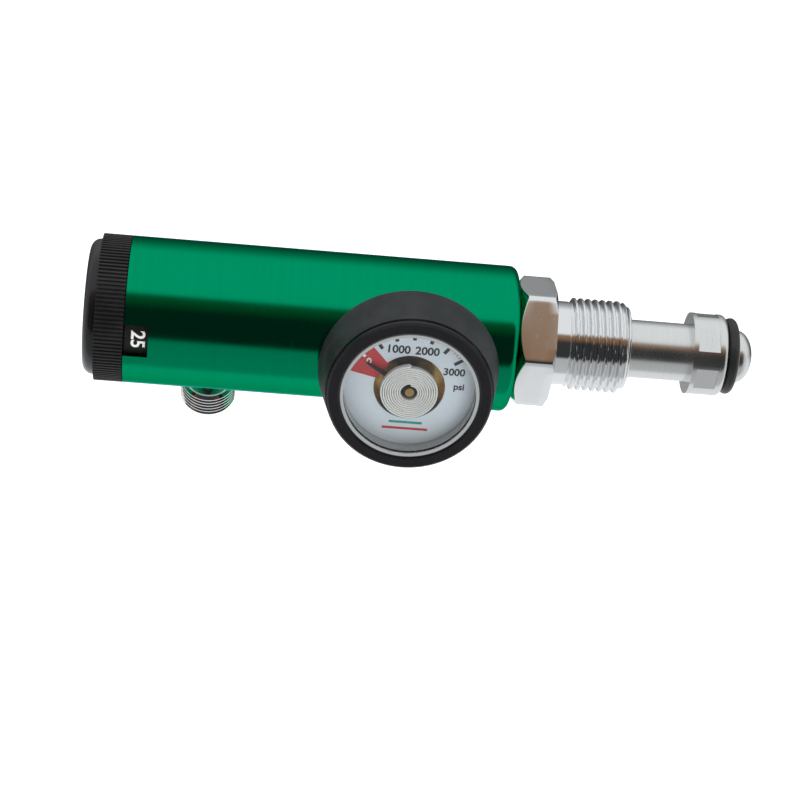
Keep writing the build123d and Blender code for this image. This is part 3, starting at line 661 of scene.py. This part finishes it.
@dataclass
class InletNut:
    """The chromed hexagon, neck and thread that turn on the stem, in millimetres along the axis."""

    half_flats: float = 14.2875
    corner_power: float = 70.0
    turned_by: float = 38.3
    bore: float = 7.26
    seat_radius: float = 8.61
    seat_depth: float = 2.5
    back: float = -20.557
    shoulder: float = -11.157
    back_cone: tuple[float, float] = (2.1, 2.94)
    front_cone: tuple[float, float] = (0.9, 1.53)
    neck: float = 10.4
    thread_start: float = -7.257
    thread_end: float = 7.257
    crest: float = 11.4555
    root: float = 10.294
    pitch: float = 1.8143
    lead_radius: float = 10.2
    lead_end: float = 7.857
    steps: int = 240
    rows_each_turn: int = 16

    def hexagon(self, angle: np.ndarray) -> np.ndarray:
        """Radius of the rounded hexagon: half the flats over the p-norm of six clipped cosines."""
        flats = np.radians(self.turned_by + 60.0 * np.arange(6))[:, None]
        share = np.clip(np.cos(angle[None, :] - flats), 0.0, 1.0) ** self.corner_power
        return self.half_flats / share.sum(0) ** (1.0 / self.corner_power)

    def ring(self, x: float | np.ndarray, radius: float | np.ndarray) -> np.ndarray:
        """One row of points: place along the axis and radius at every angle."""
        places = (np.broadcast_to(x, self.steps), np.broadcast_to(radius, self.steps))
        return np.stack(places, axis=-1)

    def thread(self, angle: np.ndarray) -> list[np.ndarray]:
        """Rows of a right-hand thread, which runs in and out over a part of a pitch.

        The radius is a rounded crest where x over the pitch plus the angle in turns, counted from
        the front towards the top, is whole.

        Args:
            angle: the angle of each column.

        Returns:
            The rows.
        """
        rows = []
        count = int((self.thread_end - self.thread_start) / self.pitch * self.rows_each_turn) + 1
        for x in np.linspace(self.thread_start, self.thread_end, count):
            turn = x / self.pitch + angle / (2 * math.pi)
            near = np.abs((turn + 0.5) % 1.0 - 0.5)
            flank = np.clip((0.40 - near) / 0.27, 0.0, 1.0)
            flank = flank * flank * (3 - 2 * flank)
            inside = min(x - self.thread_start, self.thread_end - x)
            run = np.clip(inside / (0.6 * self.pitch), 0, 1)
            rows.append(self.ring(x, self.root + (self.crest - self.root) * flank * run))
        return rows

    def build(self, finish: bpy.types.Material) -> bpy.types.Object:
        """Carries the outline round the axis: back face, cones, flats, neck, thread, bore.

        Args:
            finish: the chrome.

        Returns:
            The piece.
        """
        angle = np.linspace(0, 2 * math.pi, self.steps, endpoint=False)
        flats = self.hexagon(angle)
        corner = self.half_flats / math.cos(math.radians(30))
        back_low, front_low = corner - self.back_cone[1], corner - self.front_cone[1]
        back_slope = self.back_cone[0] / self.back_cone[1]
        front_slope = self.front_cone[0] / self.front_cone[1]
        meet = self.back + back_slope * np.maximum(flats - back_low, 0)
        leave = self.shoulder - front_slope * np.maximum(flats - front_low, 0)
        soft = 0.12
        ring = self.ring
        rows = [
            ring(self.back + self.seat_depth, self.bore),
            ring(self.back + self.seat_depth, self.seat_radius),
            ring(self.back + 0.2, self.seat_radius), ring(self.back, self.seat_radius + 0.2),
            ring(self.back, back_low - soft),
            ring(self.back + soft * 0.3, back_low + soft * 0.2),
            ring(meet - soft, flats - soft / back_slope),
            ring(meet - soft * 0.3, flats - soft * 0.45),
            ring(meet + soft * 0.4, flats - soft * 0.12), ring(meet + soft * 1.5, flats),
            *[ring(meet + (leave - meet) * share, flats) for share in (0.3, 0.5, 0.7)],
            ring(leave - soft, flats), ring(leave - soft * 0.2, flats - soft * 0.25),
            ring(self.shoulder, np.minimum(flats, front_low) - soft),
            ring(self.shoulder, self.neck + 0.35), ring(self.shoulder + 0.1, self.neck + 0.1),
            ring(self.shoulder + 0.35, self.neck), ring(self.thread_start - 0.25, self.neck),
            *self.thread(angle),
            ring(self.thread_end + 0.15, self.lead_radius),
            ring(self.lead_end - 0.2, self.lead_radius),
            ring(self.lead_end, self.lead_radius - 0.2), ring(self.lead_end, self.bore + 0.3),
            ring(self.lead_end - 0.3, self.bore),
        ]
        flat = np.stack(rows)
        x, radius = flat[..., 0], flat[..., 1]
        points = np.stack([x, -radius * np.cos(angle), radius * np.sin(angle)], axis=-1)
        nut = woven("chromed_inlet_nut", points, looped=True)
        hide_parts("inlet_nut")
        return placed(nut, "nut", finish)


@dataclass
class CoilSpring:
    """A wound wire spring that a joint presses together.

    Lengths are in millimetres along the axis: start and end of the coil, the end that stays fixed
    and the joint's travel. Middle is the coil's radius and wire the wire's.
    """

    name: str
    node: str
    joint: str
    axis: Axis
    start: float
    end: float
    middle: float
    wire: float
    turns: float
    fixed: float
    travel: float

    def build(self, finish: bpy.types.Material) -> bpy.types.Object:
        """Carries a circle along a helix: the wire's middle climbs evenly while it turns.

        The first and last half turns stay level, so that the spring stands flat.

        Args:
            finish: the wire's metal.

        Returns:
            The piece.
        """
        share = np.linspace(0, 1, int(48 * self.turns))
        turn = 2 * math.pi * self.turns * share
        level = 0.5 / self.turns
        climb = np.clip((share - level) / (1 - 2 * level), 0, 1)
        length = self.end - self.start
        along = self.start + self.wire + (length - 2 * self.wire) * climb
        around = np.linspace(0, 2 * math.pi, 12, endpoint=False)
        taper = np.clip(np.minimum(share, 1 - share) / 0.004, 0, 1) ** 0.5
        thick = (self.wire * taper)[:, None]
        radius = self.middle + thick * np.cos(around)
        bend = turn[:, None]
        line = along[:, None] + thick * np.sin(around)
        local = np.stack([line, radius * np.cos(bend), radius * np.sin(bend)], axis=-1)
        turned = np.array(self.axis.along.to_track_quat("X", "Z").to_matrix())
        points = local @ turned.T + np.array(self.axis.centre) / MM
        piece = woven(self.name, points)
        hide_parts(self.node)
        placed(piece, "regulator", finish)
        anchor = self.axis.centre + self.axis.along * self.fixed * MM
        keep = 1 - self.travel / length
        tuple(self.axis.along)
        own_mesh(piece)
        return piece


class Print(Enum):
    """The inks on the dial."""

    BLACK = "black"
    RED = "red"
    TEAL = "teal"
    WHITE = "white"


@dataclass
class GaugeFace:
    """The gauge's print and its spiral pressure tube.

    Lengths are in millimetres, angles in degrees, clockwise from the top as seen from the front.
    """

    reach: float = 14.9
    span: float = 110.0
    first: float = -55.0
    full: int = 3000
    ink: float = 0.012
    tube_inner: float = 1.95
    tube_outer: float = 6.92
    tube_turns: int = 9
    tube_width: float = 0.46

    def spot(self, radius: np.ndarray, angle: np.ndarray, lift: float) -> np.ndarray:
        """Points on the dial: x is the radius times the angle's sine, z times its cosine.

        Args:
            radius: distances from the middle.
            angle: angles.
            lift: height above the dial's front.

        Returns:
            The points.
        """
        low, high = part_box("gauge_dial")
        x, y, z = (low.x + high.x) / 2 / MM, low.y / MM - lift, (low.z + high.z) / 2 / MM
        radius, turn = np.broadcast_arrays(radius, np.radians(angle))
        flat = np.full(radius.shape, y)
        return np.stack([x + radius * np.sin(turn), flat, z + radius * np.cos(turn)], -1)

    def sector(
        self, inner: float, outer: float, start: float, end: float, lift: float = 0.02
    ) -> Sheet:
        """A flat ring sector: radius runs one way, angle the other.

        Args:
            inner: the smaller radius, as a part of the dial's reach.
            outer: the larger one.
            start: the first angle.
            end: the last angle.
            lift: height above the dial.

        Returns:
            Points and faces, facing the front.
        """
        steps = max(2, int(abs(end - start) / 2.0) + 2)
        ends = [inner * self.reach, outer * self.reach]
        radius, angle = np.meshgrid(ends, np.linspace(start, end, steps))
        points = self.spot(radius, angle, lift).reshape(-1, 3)
        first = np.arange(steps - 1)[:, None] * 2
        return points, first + np.array([[0, 2, 3, 1]])

    def bar(
        self, inner: float, outer: float, angle: float, width: float, lift: float = 0.02
    ) -> Sheet:
        """A straight mark of even width along a radius.

        Args:
            inner: where it starts, as a part of the dial's reach.
            outer: where it ends.
            angle: its angle.
            width: its width, in millimetres.
            lift: height above the dial.

        Returns:
            Points and the one face.
        """
        radius = np.array([inner, outer, outer, inner]) * self.reach
        across = np.degrees(np.array([-width, -width, width, width]) / 2 / radius)
        return self.spot(radius, angle + across, lift), np.array([[0, 1, 2, 3]])

    def stroke(self, width: float, height: float, thick: float = 0.65) -> Sheet:
        """A level stroke across the dial.

        Args:
            width: its length.
            height: how far its middle lies above the dial's.
            thick: its thickness.

        Returns:
            Points and the one face.
        """
        across = np.array([-1, 1, 1, -1]) * width / 2
        up = height + np.array([-1, -1, 1, 1]) * thick / 2
        points = self.spot(np.hypot(across, up), np.degrees(np.arctan2(across, up)), 0.02)
        return points, np.array([[0, 1, 2, 3]])

    def words(
        self, text: str, height: float, radius: float, angle: float, lift: float = 0.02
    ) -> Sheet:
        """Upright figures with their middle at a radius and an angle.

        Args:
            text: the figures.
            height: their height.
            radius: where their middle lies, as a part of the dial's reach.
            angle: its angle.
            lift: height above the dial.

        Returns:
            Points and faces.
        """
        flat, cells = lettering(text, height, 0.03)
        middle = self.spot(np.array(radius * self.reach), np.array(angle), lift)
        points = middle + np.stack([flat[:, 0], np.zeros(len(flat)), flat[:, 1]], axis=-1)
        return points, cells

    def at(self, value: float) -> float:
        """The angle of a pressure."""
        return self.first + self.span * value / self.full

    def build(self, inks: dict[Print, bpy.types.Material], tube: bpy.types.Material) -> None:
        """Prints the dial in four inks and coils the tube.

        Args:
            inks: the four inks.
            tube: the tube's finish.
        """
        black = [self.bar(0.93, 0.99, self.at(v), 0.16) for v in range(700, 3001, 100)]
        black += [self.bar(0.82, 0.99, self.at(v), 0.85) for v in (500, 2500, 3000)]
        black += [self.bar(0.87, 0.99, self.at(v), 0.32) for v in (1000, 1500, 2000)]
        dots = [self.at(v) for v in (1000, 1500, 2000)]
        black += [self.sector(0.85, 0.91, turn - 2.0, turn + 2.0) for turn in dots]
        black += [self.words(str(v), 2.2, 0.71, self.at(v)) for v in (1000, 2000)]
        black += [self.words(str(self.full), 2.0, 0.765, self.at(self.full) + 9.0)]
        black += [
            self.words("psi", 2.2, 0.79, 86.0),
            self.sector(0.992, 1.0, self.at(500), self.at(self.full)),
        ]
        red = [
            self.sector(0.52, 1.0, -77.0, -43.0, 0.01),
            self.sector(0.985, 1.0, self.at(0), self.at(500)),
            self.stroke(11.0, -11.3),
        ]
        teal = [self.sector(0.93, 1.0, self.at(1900), self.at(2500), 0.01), self.stroke(8.0, -9.6)]
        white = [self.words("0", 2.0, 0.80, -59.0, 0.03), self.bar(0.90, 1.0, -56.0, 0.7, 0.03)]
        for ink, sheets in zip(Print, (black, red, teal, white)):
            piece = printed(f"dial_print_{ink.value}", sheets, self.ink)
            placed(piece, "regulator", inks[ink])
        self.coil(tube)

    def coil(self, finish: bpy.types.Material) -> bpy.types.Object:
        """Carries a rounded flat section along a spiral: radius grows evenly with the turn.

        Args:
            finish: the tube's metal.

        Returns:
            The piece.
        """
        low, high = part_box("gauge_coil")
        turn = np.linspace(0, 2 * math.pi * self.tube_turns, 72 * self.tube_turns)
        grow = (self.tube_outer - self.tube_inner) / (2 * math.pi * self.tube_turns)
        middle = self.tube_inner + grow * turn
        around = np.linspace(0, 2 * math.pi, 14, endpoint=False)
        deep, centre = (high.y - low.y) / 2 / MM, (low.y + high.y) / 2 / MM
        side = np.sign(np.cos(around)) * np.abs(np.cos(around)) ** 0.6 * self.tube_width / 2
        front = np.sign(np.sin(around)) * np.abs(np.sin(around)) ** 0.7 * deep
        swell = np.clip(np.minimum(turn, turn[-1] - turn) / 0.05, 0.0, 1.0)[:, None] ** 0.5
        radius = middle[:, None] + side[None, :] * swell
        x = (low.x + high.x) / 2 / MM + radius * np.sin(turn)[:, None]
        z = (low.z + high.z) / 2 / MM + radius * np.cos(turn)[:, None]
        y = centre + front[None, :] * swell
        piece = woven("spiral_pressure_tube", np.stack([x, y, z], axis=-1))
        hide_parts("gauge_coil")
        return placed(piece, "regulator", finish)


@dataclass
class Studio:
    """Camera, soft light and floor. Lengths in metres, angles in degrees."""

    eye: tuple[float, float, float] = (-0.08725, -0.50944, 0.26801)
    yaw: float = 4.561
    elevation: float = 29.392
    roll: float = 6.638
    lens: float = 104.55
    sensor: float = 36.0
    floor_drop: float = 0.22
    floor_size: float = 8.0
    aim: tuple[float, float, float] = (-0.04, 0.0, 0.0)

    def camera(self) -> None:
        """Makes the camera: yaw, then elevation, then roll about the line of sight."""
        yaw, rise, roll = (math.radians(v) for v in (self.yaw, self.elevation, self.roll))
        level = math.cos(rise)
        ahead = Vector((math.sin(yaw) * level, math.cos(yaw) * level, -math.sin(rise)))
        right = Vector((math.cos(yaw), -math.sin(yaw), 0.0))
        above = right.cross(ahead)
        side = right * math.cos(roll) + above * math.sin(roll)
        top = above * math.cos(roll) - right * math.sin(roll)
        data = bpy.data.cameras.new("camera")
        data.lens, data.sensor_width = self.lens, self.sensor
        data.clip_start, data.clip_end = 0.01, 50.0
        camera = bpy.data.objects.new("camera", data)
        bpy.context.scene.collection.objects.link(camera)
        turn = Matrix((side, top, -ahead)).transposed().to_4x4()
        camera.matrix_world = Matrix.Translation(self.eye) @ turn
        bpy.context.scene.camera = camera

    def lamp(self, name: str, place: Vector, size: tuple[float, float], power: float) -> None:
        """Hangs one large soft lamp that faces the object.

        Args:
            name: the lamp's name.
            place: where it hangs.
            size: its width and height.
            power: in watts.
        """
        data = bpy.data.lights.new(name, "AREA")
        data.shape, data.size, data.size_y, data.energy = "RECTANGLE", size[0], size[1], power
        lamp = bpy.data.objects.new(name, data)
        aim = Vector(self.aim) - place
        turn = aim.to_track_quat("-Z", "Y").to_matrix().to_4x4()
        lamp.matrix_world = Matrix.Translation(place) @ turn
        lamp.visible_glossy = False
        bpy.context.scene.collection.objects.link(lamp)

    def surround(self) -> None:
        """Soft studio: white sheets above, before and below, with dark gaps between them.

        The brightness runs with the angle about X, from the front towards the top. Both ends are
        pale, and the camera itself sees plain white.
        """
        world = bpy.data.worlds.new("studio")
        bpy.context.scene.world = world
        board = Board(world, "ShaderNodeOutputWorld")
        view = board.node("ShaderNodeTexCoord", {}, {}, "Generated")
        x, y, z = board.split(view)
        angle = z.sum_of("ARCTAN2", z, y * -1.0) * (0.5 / math.pi) + 0.5
        grey = (
            (-180, 0.20), (-156, 0.05), (-149, 0.55), (-138, 0.95), (-74, 0.92), (-66, 0.56),
            (-21, 0.50), (-14, 0.04), (30, 0.04), (56, 0.92), (136, 0.92), (158, 0.45), (180, 0.20),
        )
        sheets = [(turn, (v * 0.97, v, v * 1.02)) for turn, v in grey]
        sheets += [(38, (0.20, 0.11, 0.06)), (50, (0.30, 0.19, 0.12))]
        stops = [((turn + 180.0) / 360.0, colour) for turn, colour in sorted(sheets)]
        glow = board.node("ShaderNodeValToRGB", {"stops": stops}, {"Fac": angle})
        ends = x.sum_of("ABSOLUTE", x).above(0.75, 0.2)
        glow = board.blend(ends * 0.8, glow, (0.85, 0.87, 0.88))
        light = board.node("ShaderNodeBackground", {}, {"Color": glow, "Strength": 1.0})
        white = {"Color": (1.0, 1.0, 1.0), "Strength": 1.0}
        plain = board.node("ShaderNodeBackground", {}, white)
        seen = board.node("ShaderNodeLightPath", {}, {}, "Is Camera Ray")
        board.shown(board.node("ShaderNodeMixShader", {}, {0: seen, 1: light, 2: plain}))

    def floor(self) -> None:
        """Lays a plain pale floor well below, which mirrors do not see."""
        half = self.floor_size / 2
        mesh = bpy.data.meshes.new("floor")
        corners = [(-half, -half), (half, -half), (half, half), (-half, half)]
        mesh.from_pydata([(x, y, -self.floor_drop) for x, y in corners], [], [(0, 1, 2, 3)])
        floor = bpy.data.objects.new("floor", mesh)
        bpy.context.scene.collection.objects.link(floor)
        board = Board.of_material("pale_floor")
        tone = board.noise(board.places(), 0.004, 2.0)
        base = board.blend(tone, (0.93, 0.93, 0.93), (0.96, 0.96, 0.96))
        paint = board.surface(
            Base_Color=base, Roughness=0.9, Emission_Color=(1.0, 1.0, 1.0), Emission_Strength=0.45
        )
        mesh.materials.append(paint)
        floor.visible_glossy = False

    def build(self) -> None:
        """Sets up camera, light and floor."""
        self.camera()
        self.surround()
        self.floor()
        self.lamp("lamp_above", Vector((-0.25, -0.10, 0.75)), (0.7, 0.35), 4.0)
        self.lamp("lamp_front", Vector((0.30, -0.75, 0.10)), (0.5, 0.7), 3.0)
        bpy.context.scene.view_settings.view_transform = "Standard"


class Finishes:
    """Every finish of the object, by material slot, and the axis of each node."""

    def __init__(self, frame: dict) -> None:
        """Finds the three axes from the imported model.
        """
        self.frame = frame
        low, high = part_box("gauge_bezel")
        middle = (low + high) / 2
        outlet = next(m for m in frame["record"]["mounts"] if m["name"] == "outlet_thread")
        mouth, down = Vector(outlet["pos_m"]), Vector(outlet["axis"]).normalized()
        self.axes = {
            Line.BODY: Axis(Vector(), Vector((1, 0, 0))),
            Line.GAUGE: Axis(Vector((middle.x, 0, middle.z)), Vector((0, -1, 0))),
            Line.OUTLET: Axis(mouth - down * mouth.dot(down), down),
        }
        steel, shine = (0.62, 0.62, 0.63), (0.9, 0.9, 0.9)
        gloss_black, gloss_dust = (0.006, 0.006, 0.007), (0.02, 0.02, 0.021)
        self.by_slot = {
            "anodised_green": TurnedMetal(
                "green_anodised", (0.0, 0.30, 0.130), (0.30, 0.55, 0.42), 0.16,
                ring_scale=5.0, ring_depth=2e-6, smudge=0.06,
                nick_scale=0.12, nick_size=0.035, edge=(0.0, 0.55, 0.45),
            ),
            "bright_chrome": TurnedMetal(
                "bright_chrome_plate", (0.80, 0.81, 0.82), shine, 0.09,
                ring_scale=8.0, ring_depth=8e-7, smudge=0.05,
                nick_scale=0.3, nick_size=0.03, tint=0.05,
            ),
            "satin_chrome": TurnedMetal(
                "satin_chrome_turned", (0.72, 0.72, 0.71), shine, 0.24,
                ring_scale=9.0, ring_depth=2.5e-6, smudge=0.12,
                nick_scale=0.3, nick_size=0.04,
            ),
            "stainless": TurnedMetal("stainless_turned", steel, shine, 0.28),
            "zinc_steel": TurnedMetal("zinc_plate", (0.58, 0.60, 0.63), shine, 0.33),
            "ball_steel": TurnedMetal(
                "polished_balls", (0.7, 0.7, 0.71), shine, 0.08, ring_scale=3.0, ring_depth=3e-7
            ),
            "spring_steel": TurnedMetal(
                "spring_wire", (0.45, 0.45, 0.47), shine, 0.30, ring_scale=4.0
            ),
            "brass": TurnedMetal(
                "turned_brass", (0.62, 0.40, 0.14), (0.85, 0.68, 0.38), 0.24, ring_scale=7.0
            ),
            "plain_aluminium": TurnedMetal("turned_aluminium", (0.74, 0.75, 0.76), shine, 0.30),
            "nickel_steel": TurnedMetal("nickel_cup", (0.55, 0.54, 0.50), shine, 0.25),
            "coil_steel": TurnedMetal(
                "pale_tube_metal", (0.97, 0.96, 0.92), (1.0, 1.0, 1.0), 0.30,
                ring_scale=1.0, ring_depth=1e-6, metal=0.35,
            ),
            "knob_black": Moulded(
                "knob_matte_black", (0.012, 0.012, 0.013), (0.05, 0.05, 0.052), 0.46,
                grain_scale=8.0, grain_depth=8e-6,
            ),
            "cap_black": Moulded(
                "cap_gloss_black", gloss_black, gloss_dust, 0.20,
                grain_scale=3.0, grain_depth=1e-6, dust=0.2, coat=0.15,
            ),
            "ring_black": Moulded(
                "ring_matte_black", (0.008, 0.008, 0.008), (0.03, 0.03, 0.03), 0.5
            ),
            "bezel_black": Moulded(
                "bezel_gloss_black", gloss_black, gloss_dust, 0.17,
                grain_scale=3.0, grain_depth=1e-6, dust=0.15, coat=0.05, gloss=0.22,
            ),
            "boot_rubber": Moulded(
                "boot_rubber_grey", (0.014, 0.016, 0.017), (0.045, 0.048, 0.05), 0.50,
                grain_scale=6.0, grain_depth=1e-5, dust=0.45, gloss=0.25,
            ),
            "nose_rubber": Moulded(
                "nose_rubber_black", (0.012, 0.012, 0.012), (0.06, 0.06, 0.06), 0.36,
                grain_scale=6.0, grain_depth=5e-6,
            ),
            "seal_rubber": Moulded(
                "seal_rubber_black", (0.015, 0.015, 0.015), (0.06, 0.06, 0.06), 0.45
            ),
            "seat_plastic": Moulded(
                "seat_plastic_white", (0.72, 0.71, 0.66), (0.6, 0.58, 0.52), 0.42
            ),
            "sintered_bronze": Sintered(),
            "clear_lens": ClearLens(),
            "dial_silver": DialMetal(),
            "pointer_black": Moulded(
                "pointer_paint_black", (0.01, 0.01, 0.011), (0.03, 0.03, 0.03), 0.4,
                grain_depth=2e-6,
            ),
        }
        self.made: dict[tuple[str, Line], bpy.types.Material] = {}

    def line(self, node: str) -> Line:
        """The axis that a node was turned about."""
        if node.startswith("gauge"):
            return Line.GAUGE
        return Line.OUTLET if node.startswith("outlet") else Line.BODY

    def on(self, slot: str, line: Line) -> bpy.types.Material:
        """The finish of a slot on an axis, made once."""
        if (slot, line) not in self.made:
            self.made[slot, line] = self.by_slot[slot].make(self.axes[line])
        return self.made[slot, line]

    def dress(self) -> None:
        """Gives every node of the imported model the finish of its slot."""
        slots = {part["node"]: part["material_slot"] for part in self.frame["record"]["subparts"]}
        for node, thing in self.frame["nodes"].items():
            finish = self.on(slots[node], self.line(node))
            thing.data.materials.clear()
            thing.data.materials.append(finish)
            log.info("%s is dressed in %s", node, finish.name)


def wind_springs(finishes: Finishes) -> None:
    """Winds the piston's spring and the outlet valve's spring, which their joints press together.

    Args:
        finishes: the finishes and axes.
    """
    low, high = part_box("main_spring")
    wire = 1.1
    CoilSpring(
        name="wound_main_spring", node="main_spring", joint="piston_slide",
        axis=finishes.axes[Line.BODY], start=low.x / MM, end=high.x / MM,
        middle=high.z / MM - wire, wire=wire, turns=3.5, fixed=high.x / MM, travel=1.2,
    ).build(finishes.on("spring_steel", Line.BODY))
    CoilSpring(
        name="wound_valve_spring", node="outlet_poppet_spring", joint="outlet_poppet_push",
        axis=finishes.axes[Line.OUTLET], start=19.8, end=27.8,
        middle=2.1, wire=0.3, turns=6.0, fixed=19.8, travel=2.5,
    ).build(finishes.on("spring_steel", Line.OUTLET))


def main() -> None:
    """Builds the object's pieces in order."""
    logging.basicConfig(level=logging.INFO, format="%(message)s")
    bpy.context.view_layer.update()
    finishes = Finishes(frame)
    finishes.dress()
    gauge, body = finishes.axes[Line.GAUGE], finishes.axes[Line.BODY]
    InletNut().build(finishes.on("bright_chrome", Line.BODY))
    FlowFigures().build(Ink("figure_white", (0.86, 0.86, 0.84)).make(body))
    inks = {
        Print.BLACK: (0.01, 0.01, 0.012), Print.RED: (0.52, 0.006, 0.012),
        Print.TEAL: (0.0, 0.30, 0.24), Print.WHITE: (0.85, 0.85, 0.85),
    }
    made = {ink: Ink(f"ink_{ink.value}", colour).make(gauge) for ink, colour in inks.items()}
    GaugeFace().build(made, finishes.on("coil_steel", Line.GAUGE))
    wind_springs(finishes)
    Studio().build()


if __name__ == "__main__":
    main()
